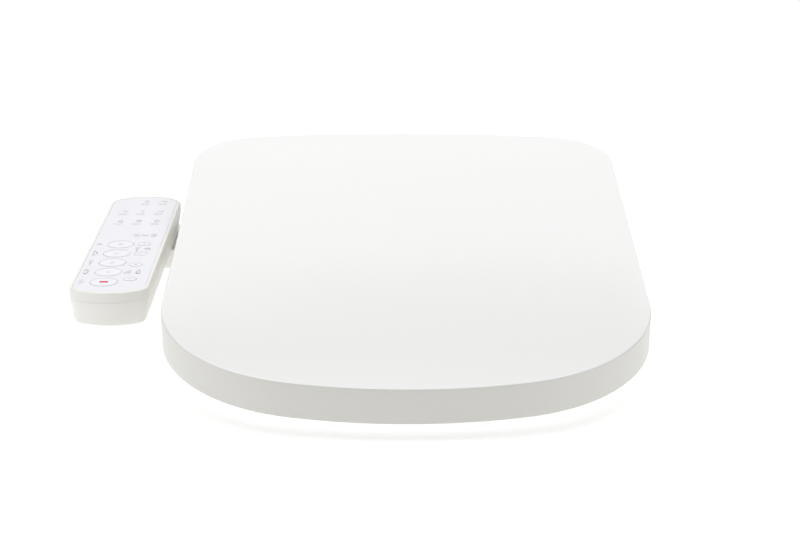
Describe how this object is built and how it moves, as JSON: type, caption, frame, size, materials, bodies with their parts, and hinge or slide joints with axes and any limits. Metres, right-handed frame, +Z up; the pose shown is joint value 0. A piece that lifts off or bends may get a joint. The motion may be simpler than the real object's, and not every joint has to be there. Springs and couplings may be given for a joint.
{
  "type": "electric bidet seat",
  "caption": "Electric bidet toilet seat with a sloping slab lid, heated ring, sliding wash nozzle and a side keypad.",
  "frame": {"origin": "middle of the mounting plate's underside, halfway between the two fixing bolts, on the bowl's top", "axes": "+Z up, +Y to the rear, the control pad is at -X"},
  "size_m": [0.4738, 0.5153, 0.1191],
  "materials": {
    "gloss_white": "polished",
    "seat_white": "smooth",
    "housing_white": "satin",
    "pad_white": "satin",
    "panel_white": "smooth film",
    "key_white": "satin",
    "grey_rubber": "matte",
    "black_plastic": "moulded",
    "grey_plastic": "moulded",
    "steel": "brushed",
    "brass": "turned",
    "board_green": "lacquered"
  },
  "bodies": {
    "base": {"housing_base": "housing_white", "housing_cover": "housing_white", "pad_lower_case": "pad_white", "pad_upper_case": "pad_white", "pad_neck": "pad_white", "pad_face_panel": "panel_white", "foot_left": "grey_rubber", "foot_right": "grey_rubber", "keypad_mat": "grey_rubber", "damper_left": "black_plastic", "damper_right": "black_plastic", "water_pump": "black_plastic", "power_cord_gland": "black_plastic", "mounting_plate": "grey_plastic", "bolt_shoe_left": "grey_plastic", "bolt_shoe_right": "grey_plastic", "nozzle_cradle": "grey_plastic", "water_heater": "grey_plastic", "inlet_valve": "grey_plastic", "hinge_pin_left": "steel", "hinge_pin_right": "steel", "nozzle_motor": "steel", "pad_screw_1": "steel", "pad_screw_2": "steel", "water_inlet_fitting": "brass", "main_circuit_board": "board_green", "hose_valve_to_heater": "grey_rubber", "hose_pump_to_heater": "grey_rubber", "pad_circuit_board": "board_green"},
    "lid": {"lid_shell": "gloss_white", "lid_bumper_front_left": "grey_rubber", "lid_bumper_front_right": "grey_rubber", "lid_bumper_rear_left": "grey_rubber", "lid_bumper_rear_right": "grey_rubber"},
    "seat": {"seat_top_shell": "seat_white", "seat_bottom_cover": "seat_white", "seat_heater_sheet": "steel", "seat_bumper_front_left": "grey_rubber", "seat_bumper_front_right": "grey_rubber", "seat_bumper_rear_left": "grey_rubber", "seat_bumper_rear_right": "grey_rubber"},
    "nozzle": {"nozzle_tube": "steel", "nozzle_tip": "gloss_white"},
    "pinion": {"drive_pinion": "brass"},
    "release": {"release_button": "grey_plastic"},
    "key_stop": {"key_stop": "key_white"},
    "key_rear_wash": {"key_rear_wash": "key_white"},
    "key_front_wash": {"key_front_wash": "key_white"},
    "key_dry": {"key_dry": "key_white"},
    "key_massage": {"key_massage": "key_white"},
    "key_pressure_down": {"key_pressure_down": "key_white"},
    "key_pressure_up": {"key_pressure_up": "key_white"},
    "key_position_front": {"key_position_front": "key_white"},
    "key_position_rear": {"key_position_rear": "key_white"}
  },
  "joints": [
    {"name": "seat_hinge", "type": "hinge", "parent": "base", "child": "seat", "pos_m": [0, 0.021, 0.08], "axis": [-1, 0, 0], "range_deg": [0, 95]},
    {"name": "lid_hinge", "type": "hinge", "parent": "seat", "child": "lid", "pos_m": [0, 0.021, 0.08], "axis": [1, 0, 0], "range_deg": [-105, 0]},
    {"name": "nozzle_slide", "type": "slide", "parent": "base", "child": "nozzle", "axis": [0, -0.8387, -0.5446], "range_m": [0, 0.08]},
    {"name": "pinion_spin", "type": "hinge", "parent": "base", "child": "pinion", "pos_m": [0, -0.04931, 0.05207], "axis": [-1, 0, 0], "range_deg": [0, 620]},
    {"name": "release_press", "type": "slide", "parent": "base", "child": "release", "axis": [-1, 0, 0], "range_m": [0, 0.003], "stiffness_N_per_m": 400},
    {"name": "stop_press", "type": "slide", "parent": "base", "child": "key_stop", "axis": [0, 0, -1], "range_m": [0, 0.0008], "stiffness_N_per_m": 300},
    {"name": "rear_wash_press", "type": "slide", "parent": "base", "child": "key_rear_wash", "axis": [0, 0, -1], "range_m": [0, 0.0008], "stiffness_N_per_m": 300},
    {"name": "front_wash_press", "type": "slide", "parent": "base", "child": "key_front_wash", "axis": [0, 0, -1], "range_m": [0, 0.0008], "stiffness_N_per_m": 300},
    {"name": "dry_press", "type": "slide", "parent": "base", "child": "key_dry", "axis": [0, 0, -1], "range_m": [0, 0.0008], "stiffness_N_per_m": 300},
    {"name": "massage_press", "type": "slide", "parent": "base", "child": "key_massage", "axis": [0, 0, -1], "range_m": [0, 0.0008], "stiffness_N_per_m": 300},
    {"name": "pressure_down_press", "type": "slide", "parent": "base", "child": "key_pressure_down", "axis": [0, 0, -1], "range_m": [0, 0.0008], "stiffness_N_per_m": 300},
    {"name": "pressure_up_press", "type": "slide", "parent": "base", "child": "key_pressure_up", "axis": [0, 0, -1], "range_m": [0, 0.0008], "stiffness_N_per_m": 300},
    {"name": "position_front_press", "type": "slide", "parent": "base", "child": "key_position_front", "axis": [0, 0, -1], "range_m": [0, 0.0008], "stiffness_N_per_m": 300},
    {"name": "position_rear_press", "type": "slide", "parent": "base", "child": "key_position_rear", "axis": [0, 0, -1], "range_m": [0, 0.0008], "stiffness_N_per_m": 300}
  ],
  "couplings": [
    {"joint": "pinion_spin", "follows": "nozzle_slide", "rad_per_m": 133.33}
  ]
}
